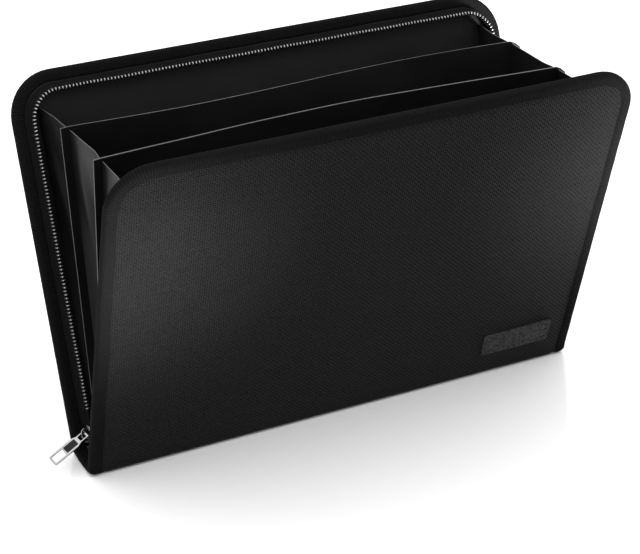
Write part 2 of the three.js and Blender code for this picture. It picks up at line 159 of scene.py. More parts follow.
def sheet_piece(name, grid, wall, materials, light=(), places=None):
    """A closed sheet of an even wall from a grid of points. light names the rims with a pale cut edge, whose
    pale colour also serves as a painted highlight.
    """
    rows = len(grid)
    columns = len(grid[0])
    front = []
    back = []
    for i in range(rows):
        for j in range(columns):
            down = grid[min(i + 1, rows - 1)][j] - grid[max(i - 1, 0)][j]
            along = grid[i][min(j + 1, columns - 1)] - grid[i][max(j - 1, 0)]
            normal = along.cross(down).normalized()
            front.append(grid[i][j] + normal * wall / 2)
            back.append(grid[i][j] - normal * wall / 2)
    total = rows * columns

    def spot(i, j):
        return i * columns + j

    def place(index):
        i, j = divmod(index % total, columns)
        if places:
            return places[i][j]
        return (grid[i][j].x, i / rows)

    faces = []
    marks = []
    for i in range(rows - 1):
        for j in range(columns - 1):
            square = (spot(i, j), spot(i, j + 1), spot(i + 1, j + 1), spot(i + 1, j))
            faces.append(square)
            faces.append(tuple(total + k for k in reversed(square)))
            marks += [0, 0]
    rims = {
        "low": [(spot(0, j), spot(0, j + 1)) for j in range(columns - 1)],
        "high": [(spot(rows - 1, j), spot(rows - 1, j + 1)) for j in range(columns - 1)],
        "first": [(spot(i, 0), spot(i + 1, 0)) for i in range(rows - 1)],
        "last": [(spot(i, columns - 1), spot(i + 1, columns - 1)) for i in range(rows - 1)],
    }
    for rim, pairs in rims.items():
        for a, b in pairs:
            faces.append((a, b, total + b, total + a))
            marks.append(1 if rim in light else 0)
    uvs = [[place(k) for k in face] for face in faces]
    return mesh_piece(name, front + back, faces, materials, marks, uvs)


def tube_piece(name, rings, materials, sharp=None):
    """A closed solid lofted through rings of points, with its ends capped."""
    around = len(rings[0])
    points = [point for ring in rings for point in ring]
    lengths = [0.0]
    for before, after in zip(rings, rings[1:]):
        lengths.append(lengths[-1] + (after[0] - before[0]).length)
    turns = [0.0]
    middle = rings[len(rings) // 2]
    for k in range(around):
        turns.append(turns[-1] + (middle[(k + 1) % around] - middle[k]).length)
    faces = []
    uvs = []
    for i in range(len(rings) - 1):
        for k in range(around):
            after = (k + 1) % around
            here = i * around
            ahead = here + around
            faces.append((here + k, here + after, ahead + after, ahead + k))
            uvs.append([
                (lengths[i], turns[k]), (lengths[i], turns[k + 1]),
                (lengths[i + 1], turns[k + 1]), (lengths[i + 1], turns[k]),
            ])
    last = (len(rings) - 1) * around
    faces.append(tuple(range(around)))
    faces.append(tuple(last + k for k in reversed(range(around))))
    uvs.append([(lengths[0], turns[k]) for k in range(around)])
    uvs.append([(lengths[-1], turns[k]) for k in reversed(range(around))])
    return mesh_piece(name, points, faces, materials, None, uvs, sharp)


def flat_piece(name, outline, holes, wall, bevel, place, materials):
    """A flat plate with holes and rounded rims, drawn in the plane and then moved by the matrix place."""
    curve = bpy.data.curves.new(name, "CURVE")
    curve.dimensions = "2D"
    curve.fill_mode = "BOTH"
    curve.extrude = wall / 2 - bevel
    curve.bevel_depth = bevel
    curve.bevel_resolution = 2
    curve.offset = -bevel
    for ring in [outline, *holes]:
        spline = curve.splines.new("POLY")
        spline.points.add(len(ring) - 1)
        for point, (x, y) in zip(spline.points, ring):
            point.co = (x, y, 0, 1)
        spline.use_cyclic_u = True
    drawn = bpy.data.objects.new(name, curve)
    bpy.context.scene.collection.objects.link(drawn)
    bpy.context.view_layer.update()
    mesh = bpy.data.meshes.new_from_object(drawn.evaluated_get(bpy.context.evaluated_depsgraph_get()))
    bpy.data.objects.remove(drawn)
    bpy.data.curves.remove(curve)
    mesh.transform(place)
    work = bmesh.new()
    work.from_mesh(mesh)
    bmesh.ops.remove_doubles(work, verts=work.verts, dist=1e-6)
    bmesh.ops.recalc_face_normals(work, faces=work.faces)
    work.to_mesh(mesh)
    work.free()
    mesh.materials.clear()
    mesh.shade_smooth()
    obj = linked(name, mesh, materials)
    mesh.set_sharp_from_angle(angle=math.radians(35))
    return obj


def joined(name, parts):
    """Several objects as one mesh."""
    work = bmesh.new()
    for part in parts:
        work.from_mesh(part.data)
    mesh = bpy.data.meshes.new(name)
    work.to_mesh(mesh)
    work.free()
    materials = list(parts[0].data.materials)
    for part in parts:
        bpy.data.objects.remove(part)
    return linked(name, mesh, materials)


def round_rectangle(left, foot, right, top, radius, steps=5):
    ring = []
    corners = [
        (right - radius, foot + radius, -90), (right - radius, top - radius, 0),
        (left + radius, top - radius, 90), (left + radius, foot + radius, 180),
    ]
    for x, y, start in corners:
        for i in range(steps + 1):
            turn = math.radians(start + 90 * i / steps)
            ring.append((x + radius * math.cos(turn), y + radius * math.sin(turn)))
    return ring


# Materials

class Signal:
    """A node's output. Sums and products of signals and numbers add Math nodes."""

    def __init__(self, finish, socket):
        self.finish = finish
        self.socket = socket

    def __add__(self, other):
        return self.finish.maths("ADD", self, other)

    def __sub__(self, other):
        return self.finish.maths("SUBTRACT", self, other)

    def __rsub__(self, other):
        return self.finish.maths("SUBTRACT", other, self)

    def __mul__(self, other):
        return self.finish.maths("MULTIPLY", self, other)

    def __gt__(self, other):
        return self.finish.maths("GREATER_THAN", self, other)

    def sine(self):
        return self.finish.maths("SINE", self)

    def size(self):
        return self.finish.maths("ABSOLUTE", self)

    def power(self, other):
        return self.finish.maths("POWER", self, other)


class Finish:
    """A material that is put together from nodes."""

    def __init__(self, name, **sockets):
        self.material = bpy.data.materials.new(name)
        self.material.use_nodes = True
        self.tree = self.material.node_tree
        self.shader = self.tree.nodes["Principled BSDF"]
        self.set(**sockets)

    def plug(self, socket, value):
        if isinstance(value, Signal):
            self.tree.links.new(value.socket, socket)
        elif hasattr(value, "__len__") and len(value) == 3 and len(socket.default_value) == 4:
            socket.default_value = (*value, 1)
        else:
            socket.default_value = value

    def node(self, kind, settings=None, sockets=None, out=0):
        made = self.tree.nodes.new(kind)
        for name, value in (settings or {}).items():
            setattr(made, name, value)
        for name, value in (sockets or {}).items():
            self.plug(made.inputs[name], value)
        return Signal(self, made.outputs[out])

    def maths(self, operation, *values):
        return self.node("ShaderNodeMath", {"operation": operation}, dict(enumerate(values)))

    def set(self, **sockets):
        for name, value in sockets.items():
            self.plug(self.shader.inputs[name.replace("_", " ")], value)

    def cloth_place(self):
        """How far along and how far across the piece's own cloth a point lies, in metres."""
        place = self.node("ShaderNodeUVMap", {"uv_map": UV})
        split = self.tree.nodes.new("ShaderNodeSeparateXYZ")
        self.tree.links.new(place.socket, split.inputs[0])
        return Signal(self, split.outputs[0]), Signal(self, split.outputs[1])

    def grain(self, scale, detail=2.0, rough=0.5, stretch=(1, 1, 1)):
        """Soft noise on the piece's own place, with scale grains to a metre."""
        place = self.node("ShaderNodeTexCoord", out=3)
        moved = self.node("ShaderNodeMapping", None, {"Vector": place, "Scale": stretch})
        sockets = {"Vector": moved, "Scale": scale, "Detail": detail, "Roughness": rough}
        return self.node("ShaderNodeTexNoise", None, sockets)

    def between(self, factor, low, high):
        sockets = {0: factor, 6: low, 7: high}
        return self.node("ShaderNodeMix", {"data_type": "RGBA", "clamp_factor": True}, sockets, 2)

    def ramp(self, value, *stops):
        made = self.tree.nodes.new("ShaderNodeMapRange")
        made.clamp = True
        self.plug(made.inputs[0], value)
        for k, stop in enumerate(stops):
            made.inputs[k + 1].default_value = stop
        return Signal(self, made.outputs[0])

    def relief(self, height, distance, strength=1.0):
        sockets = {"Height": height, "Distance": distance, "Strength": strength}
        self.set(Normal=self.node("ShaderNodeBump", None, sockets))


def shades(colour, low, high):
    return tuple(c * low for c in colour), tuple(c * high for c in colour)


def weave_finish(name, colour, pitch, depth, rough, sheen):
    """Cloth of crossing threads, pitch apart."""
    finish = Finish(name, Sheen_Weight=sheen, Sheen_Roughness=0.45, Specular_IOR_Level=0.03)
    u, v = finish.cloth_place()
    wave = math.pi / pitch
    warp = (u * wave).sine()
    weft = (v * wave).sine()
    over = (warp * weft) > 0
    thread = over * weft.size().power(0.7) + (1 - over) * warp.size().power(0.7)
    fuzz = finish.grain(520, 3, 0.7)
    wide = finish.grain(22, 3)
    low, high = shades(colour, 0.05, 2.6)
    tone = thread * 0.5 + fuzz * 0.55 + wide * 0.15
    finish.set(Base_Color=finish.between(finish.ramp(tone, 0.4, 0.85, 0, 1), low, high))
    finish.set(Roughness=finish.ramp(wide + fuzz * 0.4, 0.4, 1.0, rough - 0.06, rough + 0.1))
    finish.relief(thread + fuzz * 0.4, depth)
    return finish.material


def ribbed_finish(name, colour, pitch, depth, rough):
    """Tape with fine ribs across it."""
    finish = Finish(name, Specular_IOR_Level=0.02)
    u, v = finish.cloth_place()
    rib = (u * (math.pi / pitch)).sine().size()
    cross = (v * (math.pi / (pitch * 0.62))).sine().size()
    fuzz = finish.grain(450, 3, 0.7)
    wide = finish.grain(35, 3)
    low, high = shades(colour, 0.3, 1.9)
    tone = rib * 0.35 + cross * 0.2 + fuzz * 0.6 + wide * 0.2
    finish.set(Base_Color=finish.between(finish.ramp(tone, 0.2, 1.0, 0, 1), low, high))
    finish.set(Roughness=finish.ramp(wide + fuzz * 0.5, 0.4, 1.1, rough - 0.07, rough + 0.08))
    finish.relief(rib * 0.7 + cross * 0.4 + fuzz * 0.3, depth)
    return finish.material


def film_finish(name, colour, rough, sheen, crumple):
    """Thin smooth cloth with a fine thread and soft dents."""
    finish = Finish(name, Sheen_Weight=sheen, Sheen_Roughness=0.4, Specular_IOR_Level=0.08)
    u, v = finish.cloth_place()
    fine = (u * (math.pi / (0.55 * MM))).sine() * (v * (math.pi / (0.55 * MM))).sine()
    dents = finish.grain(16, 4, 0.55)
    fuzz = finish.grain(700, 2)
    low, high = shades(colour, 0.7, 1.4)
    finish.set(Base_Color=finish.between(finish.ramp(dents + fuzz * 0.2, 0.35, 0.85, 0, 1), low, high))
    finish.set(Roughness=finish.ramp(dents, 0.3, 0.7, rough - 0.07, rough + 0.07))
    finish.relief(fine * 0.02 + dents * crumple + fuzz * 0.02, 1 * MM)
    return finish.material


def pale_edge_and_highlight_finish(name, colour):
    """The pale cut edge of the film, its colour partly a painted highlight along the edge."""
    finish = Finish(name, Specular_IOR_Level=0.4)
    grain = finish.grain(420, 3)
    low, high = shades(colour, 0.6, 1.35)
    finish.set(Base_Color=finish.between(finish.ramp(grain, 0.3, 0.7, 0, 1), low, high), Roughness=0.5)
    finish.relief(grain, 0.1 * MM)
    return finish.material


def metal_finish(name, colour, rough):
    """Bright plated metal, dulled in its small scratches."""
    finish = Finish(name, Metallic=1.0)
    scratches = finish.grain(600, 4, 0.6, (1, 1, 0.15))
    smear = finish.grain(140, 3)
    low, high = shades(colour, 0.82, 1.04)
    finish.set(Base_Color=finish.between(finish.ramp(smear, 0.3, 0.7, 0, 1), low, high))
    finish.set(Roughness=finish.ramp(scratches + smear * 0.4, 0.4, 1.0, rough, rough + 0.12))
    finish.relief(scratches, 0.02 * MM)
    return finish.material


def board_finish(name, colour):
    finish = Finish(name, Specular_IOR_Level=0.2)
    fibre = finish.grain(500, 4, 0.6, (1, 1, 0.4))
    low, high = shades(colour, 0.8, 1.15)
    finish.set(Base_Color=finish.between(fibre, low, high), Roughness=0.9)
    finish.relief(fibre, 0.1 * MM)
    return finish.material


def label_finish(name, colour):
    finish = Finish(name, Specular_IOR_Level=0.06)
    pores = finish.node("ShaderNodeTexVoronoi", None, {
        "Vector": finish.node("ShaderNodeTexCoord", out=3), "Scale": 480.0,
    })
    wide = finish.grain(160, 3)
    low, high = shades(colour, 0.2, 1.9)
    finish.set(Base_Color=finish.between(finish.ramp(pores + wide * 0.5, 0.3, 0.9, 0, 1), low, high))
    finish.set(Roughness=finish.ramp(wide, 0.3, 0.7, 0.5, 0.66))
    finish.relief(pores * 0.5 + wide, 0.7 * MM)
    return finish.material


def floor_finish(name, colour):
    finish = Finish(name, Specular_IOR_Level=1.0)
    smear = finish.grain(3, 2)
    low, high = shades(colour, 0.995, 1.0)
    finish.set(Base_Color=finish.between(smear, low, high))
    finish.set(Roughness=finish.ramp(smear, 0.3, 0.7, 0.08, 0.12))
    return finish.material


FINISHES = {}


def finish_of(name):
    """The folder's materials, made when first asked for."""
    if FINISHES:
        return FINISHES[name]
    colours = bpy.context.scene.folder_colours
    sizes = bpy.context.scene.folder_sizes
    FINISHES.update({
        "outer": weave_finish("Outer woven cloth", colours.outer, sizes.weave_pitch, 0.7 * MM, 0.45, 0.01),
        "lining": film_finish("Smooth lining cloth", colours.lining, 0.42, 0.01, 0.25),
        "binding": ribbed_finish("Binding tape", colours.binding, 1.5 * MM, 0.4 * MM, 0.72),
        "tape": ribbed_finish("Zip tape", colours.tape, 0.8 * MM, 0.14 * MM, 0.75),
        "teeth": metal_finish("Bright zip teeth", colours.teeth, 0.25),
        "inlay": metal_finish("Dark inlay of the pull", colours.inlay, 0.2),
        "metal": metal_finish("Polished slider metal", colours.metal, 0.08),
        "film": film_finish("Divider film", colours.film, 0.38, 0.01, 0.5),
        # Pale cut edge colour that also stands in for a painted highlight along the film's rims
        "edge": pale_edge_and_highlight_finish("Cut film edge and painted highlight", colours.edge),
        "thread": ribbed_finish("Sewing thread", colours.thread, 0.3 * MM, 0.05 * MM, 0.6),
        "label": label_finish("Label patch", colours.label),
        "board": board_finish("Cover board", colours.board),
    })
    return FINISHES[name]


# Repeats along a seam

def repeat_tree():
    """Geometry nodes that set copies of a shape along a line, turned by its up attribute."""
    tree = bpy.data.node_groups.new("Repeat along a seam", "GeometryNodeTree")
    face = tree.interface
    face.new_socket("Geometry", in_out="INPUT", socket_type="NodeSocketGeometry")
    face.new_socket("Pitch", in_out="INPUT", socket_type="NodeSocketFloat")
    face.new_socket("Shape", in_out="INPUT", socket_type="NodeSocketObject")
    face.new_socket("Finish", in_out="INPUT", socket_type="NodeSocketMaterial")
    face.new_socket("Unevenness", in_out="INPUT", socket_type="NodeSocketFloat")
    face.new_socket("Seed", in_out="INPUT", socket_type="NodeSocketInt")
    face.new_socket("Geometry", in_out="OUTPUT", socket_type="NodeSocketGeometry")
    nodes = tree.nodes
    links = tree.links
    given = nodes.new("NodeGroupInput")
    line = nodes.new("GeometryNodeMeshToCurve")
    spaced = nodes.new("GeometryNodeResampleCurve")
    spaced.mode = "LENGTH"
    tangent = nodes.new("GeometryNodeInputTangent")
    up = nodes.new("GeometryNodeInputNamedAttribute")
    up.data_type = "FLOAT_VECTOR"
    up.inputs["Name"].default_value = "up"
    turn = nodes.new("FunctionNodeAxesToRotation")
    turn.primary_axis = "X"
    turn.secondary_axis = "Z"
    shape = nodes.new("GeometryNodeObjectInfo")
    least = nodes.new("ShaderNodeMath")
    least.operation = "SUBTRACT"
    least.inputs[0].default_value = 1
    most = nodes.new("ShaderNodeMath")
    most.operation = "ADD"
    most.inputs[0].default_value = 1
    spread = nodes.new("FunctionNodeRandomValue")
    copies = nodes.new("GeometryNodeInstanceOnPoints")
    real = nodes.new("GeometryNodeRealizeInstances")
    painted = nodes.new("GeometryNodeSetMaterial")
    result = nodes.new("NodeGroupOutput")
    links.new(given.outputs["Geometry"], line.inputs[0])
    links.new(line.outputs[0], spaced.inputs["Curve"])
    links.new(given.outputs["Pitch"], spaced.inputs["Length"])
    links.new(tangent.outputs[0], turn.inputs["Primary Axis"])
    links.new(up.outputs[0], turn.inputs["Secondary Axis"])
    links.new(given.outputs["Shape"], shape.inputs["Object"])
    links.new(given.outputs["Unevenness"], least.inputs[1])
    links.new(given.outputs["Unevenness"], most.inputs[1])
    links.new(least.outputs[0], spread.inputs[2])
    links.new(most.outputs[0], spread.inputs[3])
    links.new(given.outputs["Seed"], spread.inputs["Seed"])
    links.new(spaced.outputs[0], copies.inputs["Points"])
    links.new(shape.outputs["Geometry"], copies.inputs["Instance"])
    links.new(turn.outputs[0], copies.inputs["Rotation"])
    links.new(spread.outputs[1], copies.inputs["Scale"])
    links.new(copies.outputs[0], real.inputs[0])
    links.new(real.outputs[0], painted.inputs["Geometry"])
    links.new(given.outputs["Finish"], painted.inputs["Material"])
    links.new(painted.outputs[0], result.inputs[0])
    return tree


def repeated(name, lines, shape, pitch, material, unevenness=0.0, seed=7):
    """One mesh of copies of shape along lines, each a list of (point, up)."""
    tree = bpy.data.node_groups.get("Repeat along a seam") or repeat_tree()
    points = []
    ups = []
    edges = []
    for line in lines:
        start = len(points)
        points += [tuple(point) for point, _ in line]
        ups += [tuple(up) for _, up in line]
        edges += [(start + k, start + k + 1) for k in range(len(line) - 1)]
    mesh = bpy.data.meshes.new(name)
    mesh.from_pydata(points, edges, [])
    attribute = mesh.attributes.new("up", "FLOAT_VECTOR", "POINT")
    attribute.data.foreach_set("vector", [c for up in ups for c in up])
    obj = linked(name, mesh, [])
    modifier = obj.modifiers.new("Repeat", "NODES")
    modifier.node_group = tree
    values = {"Pitch": pitch, "Shape": shape, "Finish": material, "Unevenness": unevenness, "Seed": seed}
    for item in tree.interface.items_tree:
        if item.in_out == "INPUT" and item.name in values:
            modifier[item.identifier] = values[item.name]
    finished_mesh(obj)
    obj.data.shade_smooth()
    obj.data.set_sharp_from_angle(angle=math.radians(50))
    return obj


def stitch_shape(length, thickness):
    """A short rounded stitch along X."""
    mesh = bpy.data.meshes.new("stitch")
    work = bmesh.new()
    scale = Matrix.Diagonal((length / 2, thickness / 2, thickness / 2, 1))
    turned = Matrix.Rotation(math.pi / 2, 4, "Y")
    bmesh.ops.create_uvsphere(work, u_segments=6, v_segments=5, radius=1, matrix=scale @ turned)
    work.to_mesh(mesh)
    work.free()
    return linked("stitch", mesh, [])


def tooth_shape():
    """A zip tooth: jaws that clamp the tape, a neck and a rounded head. Z points away from the tape."""
    rings = [
        (-2.0, 0.32, 1.0), (-1.9, 0.45, 1.15), (0.1, 0.48, 1.2), (0.35, 0.42, 1.1),
        (0.75, 0.36, 1.0), (1.05, 0.46, 1.0), (1.35, 0.4, 0.85), (1.5, 0.22, 0.55),
    ]
    points = []
    for height, half_long, half_wide in rings:
        for turn in range(8):
            angle = math.radians(22.5 + 45 * turn)
            reach = 1.08
            x = max(-1, min(1, reach * math.cos(angle) * 1.1)) * half_long
            y = max(-1, min(1, reach * math.sin(angle) * 1.1)) * half_wide
            points.append((x * MM, y * MM, height * MM))
    faces = [tuple(reversed(range(8))), tuple(56 + k for k in range(8))]
    for i in range(len(rings) - 1):
        for k in range(8):
            after = (k + 1) % 8
            faces.append((i * 8 + k, i * 8 + after, (i + 1) * 8 + after, (i + 1) * 8 + k))
    mesh = bpy.data.meshes.new("tooth")
    mesh.from_pydata(points, [], faces)
    return linked("tooth", mesh, [])


# The way round a cover's edge

def edge_way(foot, spacing):
    """Places round a cover's edge, from the left foot over the top to the right foot."""
    shoulder = COVER_HEIGHT - CORNER
    reach = HALF_WIDTH - CORNER
    side_steps = max(2, round((shoulder - foot) / spacing))
    turn_steps = max(8, round(CORNER * math.pi / 2 / spacing))
    top_steps = max(2, round(2 * reach / spacing))
    way = []
    for i in range(side_steps):
        way.append((-HALF_WIDTH, mixed(foot, shoulder, i / side_steps), 1.0, 0.0))
    for i in range(turn_steps):
        turn = math.pi / 2 * i / turn_steps
        inward = (math.cos(turn), -math.sin(turn))
        way.append((-reach - CORNER * inward[0], shoulder - CORNER * inward[1], *inward))
    for i in range(top_steps):
        way.append((mixed(-reach, reach, i / top_steps), COVER_HEIGHT, 0.0, -1.0))
    for i in range(turn_steps):
        turn = math.pi / 2 * i / turn_steps
        inward = (-math.sin(turn), -math.cos(turn))
        way.append((reach - CORNER * inward[0], shoulder - CORNER * inward[1], *inward))
    for i in range(side_steps + 1):
        way.append((HALF_WIDTH, mixed(shoulder, foot, i / side_steps), -1.0, 0.0))
    return way


def way_point(cover, step, inset, depth):
    x, up, in_x, in_up = step
    return cover_point(cover, x + in_x * inset, depth, up + in_up * inset)


def seam_line(cover, inset, depth, foot, spacing=4 * MM, drift=0.0):
    """A line round a cover at an even inset, with the direction that points out of the cloth."""
    outward = leaf_normal(cover) * SIDES[cover] * (1 if depth < COVER_THICKNESS / 2 else -1)
    line = []
    for step in edge_way(foot, spacing):
        wander = drift * ripple(step[0], step[1], 3.0 * SIDES[cover], 0.03)
        line.append((way_point(cover, step, inset + wander, depth), outward))
    return line


# Section round the spine's corner: outer and inner places, as distances from the middle and heights

TAIL = [
    (1.2, 0.62, 1.2, 5.0), (6.0, 0.62, 5.5, 5.0), (10.5, 0.62, 8.6, 5.1), (13.4, 0.75, 9.8, 5.5),
    (15.4, 1.25, 10.4, 6.0), (16.8, 2.3, 10.8, 6.5), (17.5, 3.7, 11.0, 7.0),
]


def spine_point(cover, x, tail, depth):
    """A point at a tail station, depth inwards from the outer skin, as on the cover."""
    share = depth / COVER_THICKNESS
    y = mixed(tail[0], tail[2], share) * MM
    z = mixed(tail[1], tail[3], share) * MM
    return Vector((x, SIDES[cover] * y, z))


def bends_at_hinge(obj):
    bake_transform(obj)


# Sizes and colours that a user would change

def length_property(name, description, default, least=0.0):
    return FloatProperty(name=name, description=description, default=default, min=least, unit="LENGTH")


class FolderSizes(bpy.types.PropertyGroup):
    weave_pitch: length_property(
        "Weave pitch", "Distance between two threads of the outer cloth", 1.5 * MM, 0.2 * MM,
    )
    cover_crown: length_property(
        "Cover crown", "How far the outer cloth stands out at the middle of a cover", 1.5 * MM,
    )
    tooth_pitch: length_property("Tooth pitch", "Distance between two zip teeth", 2.3 * MM, 1 * MM)
    teeth_foot: length_property(
        "Lowest tooth", "Height of the lowest zip tooth along the cover", 24 * MM,
    )
    stitch_pitch: length_property("Stitch pitch", "Distance between two stitches", 3.4 * MM, 1 * MM)
    stitch_seed: IntProperty(name="Stitch seed", description="Seed of the stitches' unevenness", default=7)
    rear_wave: length_property(
        "Rear divider wave", "How far the rear divider's top edge waves", 5.5 * MM,
    )
    front_bow: length_property(
        "Front divider bow", "How far the front divider's top edge bows back", 8 * MM,
    )


def colour_property(name, default):
    return FloatVectorProperty(
        name=name, description="Colour of the " + name.lower(), subtype="COLOR", size=3,
        min=0, max=1, default=default,
    )


class FolderColours(bpy.types.PropertyGroup):
    outer: colour_property("Outer cloth", (0.0042, 0.0042, 0.0043))
    lining: colour_property("Lining", (0.0085, 0.0085, 0.0087))
    binding: colour_property("Binding tape", (0.0036, 0.0036, 0.0037))
    tape: colour_property("Zip tape", (0.0045, 0.0045, 0.0047))
    film: colour_property("Divider film", (0.005, 0.005, 0.0051))
    # Pale colour of the cut edge, partly a painted highlight
    edge: colour_property("Cut edge and painted highlight", (0.04, 0.04, 0.041))
    thread: colour_property("Sewing thread", (0.012, 0.012, 0.0125))
    label: colour_property("Label", (0.017, 0.017, 0.0173))
    board: colour_property("Board", (0.45, 0.4, 0.32))
    metal: colour_property("Metal", (0.26, 0.26, 0.27))
    teeth: colour_property("Teeth", (0.4, 0.4, 0.41))
    inlay: colour_property("Dark inlay", (0.016, 0.015, 0.015))
    floor: colour_property("Floor", (0.93, 0.93, 0.93))


# Outer cloth

def panel_half(up, inset, corner):
    """Half the width of a cover's panel at a height, with rounded upper corners."""
    half = HALF_WIDTH - inset
    top = COVER_HEIGHT - inset
    rise = up - (top - corner)
    if rise <= 0:
        return half
    return half - corner + math.sqrt(max(corner * corner - rise * rise, 0))


def panel_rows(foot, inset, corner, steps):
    """Heights of a panel's rows, closer together where its corners turn."""
    top = COVER_HEIGHT - inset
    shoulder = top - corner
    rows = [mixed(foot, shoulder, i / steps) for i in range(steps)]
    turns = 14
    rows += [shoulder + corner * math.sin(math.pi / 2 * i / turns) for i in range(turns + 1)]
    return rows


def outer_depth(x, up, crown, cover):
    """How deep the outer cloth lies: tucked under the tape at its edges, crowned in the middle."""
    side = HALF_WIDTH - abs(x)
    top = COVER_HEIGHT - up
    near = min(side, top)
    tuck = 1.25 * MM * (1 - smooth(near, 4 * MM, 12 * MM))
    swell = crown * smooth(side, 6 * MM, 95 * MM) * smooth(top, 6 * MM, 70 * MM)
    swell *= smooth(up, -20 * MM, 45 * MM)
    wave = 0.25 * MM * ripple(x, up, SIDES[cover], 0.07)
    return 0.35 * MM + tuck - swell + wave * smooth(near, 6 * MM, 30 * MM)


class FOLDER_OT_outer_cloth(bpy.types.Operator):
    """Woven cloth over both covers and round the spine"""

    bl_idname = "folder.outer_cloth"
    bl_label = "Outer cloth"

    def execute(self, context):
        crown = context.scene.folder_sizes.cover_crown
        columns = 72
        for cover in SIDES:
            grid = []
            places = []
            run = -18 * MM
            for tail in TAIL[1:]:
                row = []
                for j in range(columns + 1):
                    x = (HALF_WIDTH - 3 * MM) * (2 * j / columns - 1)
                    side = HALF_WIDTH - abs(x)
                    depth = 1.25 * MM * (1 - smooth(side, 4 * MM, 12 * MM)) + 0.2 * MM
                    row.append(spine_point(cover, x, tail, depth + (0.7 * MM if tail[0] < 11 else 0)))
                grid.append(row)
                places.append([(point.x, run) for point in row])
                run += 3 * MM
            for up in panel_rows(1.5 * MM, 3 * MM, CORNER - 3 * MM, 34):
                half = panel_half(up, 3 * MM, CORNER - 3 * MM)
                row = []
                for j in range(columns + 1):
                    x = half * (2 * j / columns - 1)
                    row.append(cover_point(cover, x, outer_depth(x, up, crown, cover), up))
                grid.append(row)
                places.append([(point.x, up) for point in row])
            name = cover + "_outer_cloth"
            panel = sheet_piece(name, grid, 0.8 * MM, [finish_of("outer")], (), places)
            bends_at_hinge(panel)
            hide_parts(cover + "_cover_fabric")
        grid = []
        places = []
        for i in range(15):
            y = mixed(-11.5, 11.5, i / 14) * MM
            row = [Vector((171.5 * MM * (2 * j / 40 - 1), y, 0.55 * MM)) for j in range(41)]
            for point in row:
                point.z += 0.7 * MM * (1 - smooth(HALF_WIDTH - abs(point.x), 6 * MM, 12 * MM))
            grid.append(row)
            places.append([(point.x, y) for point in row])
        strip = sheet_piece("spine_outer_cloth", grid, 0.8 * MM, [finish_of("outer")], (), places)
        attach(strip, "spine")
        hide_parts("spine_fabric")
        return {"FINISHED"}


# Binding

BINDING_LINE = [
    (7.6, 1.05), (7.1, 0.5), (6.2, 0.2), (5.0, 0.1), (3.6, 0.0), (2.2, 0.1), (1.1, 0.5), (0.4, 1.3),
    (0.1, 2.4), (0.1, 3.4), (0.1, 4.4), (0.4, 5.5), (1.1, 6.3), (2.2, 6.7), (3.6, 6.8), (5.0, 6.7),
    (6.2, 6.6), (7.1, 6.3), (7.6, 5.75),
]


def thick_line(line, wall):
    """A closed ring round a line in the plane."""
    left = []
    right = []
    for k, (x, y) in enumerate(line):
        ax, ay = line[max(k - 1, 0)]
        bx, by = line[min(k + 1, len(line) - 1)]
        length = math.hypot(bx - ax, by - ay)
        nx, ny = (ay - by) / length, (bx - ax) / length
        left.append((x + nx * wall / 2, y + ny * wall / 2))
        right.append((x - nx * wall / 2, y - ny * wall / 2))
    return left + right[::-1]


def turned_in(tail, depth):
    """How far the tape's outer skin turns in at the spine's lower corners, in millimetres."""
    return 2.0 * (1 - smooth(tail[1], 0.5, 3.7)) * (1 - smooth(depth, 0.2, 1.6))


def tail_rings(cover, side, section):
    """The tape's rings at one end of the spine's corner. side is -1 for the left end."""
    rings = []
    for tail in TAIL:
        ring = []
        for inset, depth in section:
            x = side * (HALF_WIDTH - (inset + turned_in(tail, depth)) * MM)
            ring.append(spine_point(cover, x, tail, depth * MM))
        rings.append(ring)
    return rings


class FOLDER_OT_bindings(bpy.types.Operator):
    """Tape folded over the edges of both covers, its stitches, and the laps at the spine's ends"""

    bl_idname = "folder.bindings"
    bl_label = "Bindings"

    def execute(self, context):
        sizes = context.scene.folder_sizes
        section = thick_line(BINDING_LINE, 0.7)
        stitch = stitch_shape(2.5 * MM, 0.42 * MM)
        for cover in SIDES:
            rings = tail_rings(cover, -1, section)
            for step in edge_way(1.5 * MM, 4 * MM):
                wander = 0.45 * ripple(step[0], step[1], 5.0 * SIDES[cover], 0.022)
                puff = 0.22 * ripple(step[0], step[1], 9.0 * SIDES[cover], 0.012)
                ring = []
                for inset, depth in section:
                    loose = smooth(inset, 3.0, 7.5)
                    lift = puff * (1 - loose) * (1 if depth > 3.4 else -1)
                    ring.append(way_point(cover, step, (inset + wander * loose) * MM, (depth + lift) * MM))
                rings.append(ring)
            rings += reversed(tail_rings(cover, 1, section))
            tape = tube_piece(cover + "_binding", rings, [finish_of("binding")])
            bends_at_hinge(tape)
            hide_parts(cover + "_cover_binding")
            lines = [
                seam_line(cover, 5.7 * MM, -0.25 * MM, 9 * MM, drift=0.3 * MM),
                seam_line(cover, 5.7 * MM, 7.05 * MM, 9 * MM, drift=0.3 * MM),
            ]
            row = repeated(
                cover + "_binding_stitches", lines, stitch, sizes.stitch_pitch, finish_of("thread"),
                0.08, sizes.stitch_seed,
            )
            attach(row, cover + "_cover")
        for end, side in (("left", -1), ("right", 1)):
            rings = []
            for i in range(9):
                y = mixed(-4.5, 4.5, i / 8) * MM
                ring = []
                for inset, depth in section:
                    x = side * (HALF_WIDTH + 0.1 * MM - inset * MM * 1.04)
                    ring.append(Vector((x, y, (0.35 + depth / 6.8 * 4.9) * MM)))
                rings.append(ring)
            lap = tube_piece(end + "_spine_lap", rings, [finish_of("binding")])
            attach(lap, "spine")
            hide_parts(end + "_spine_binding")
        bpy.data.objects.remove(stitch)
        return {"FINISHED"}


# Linings

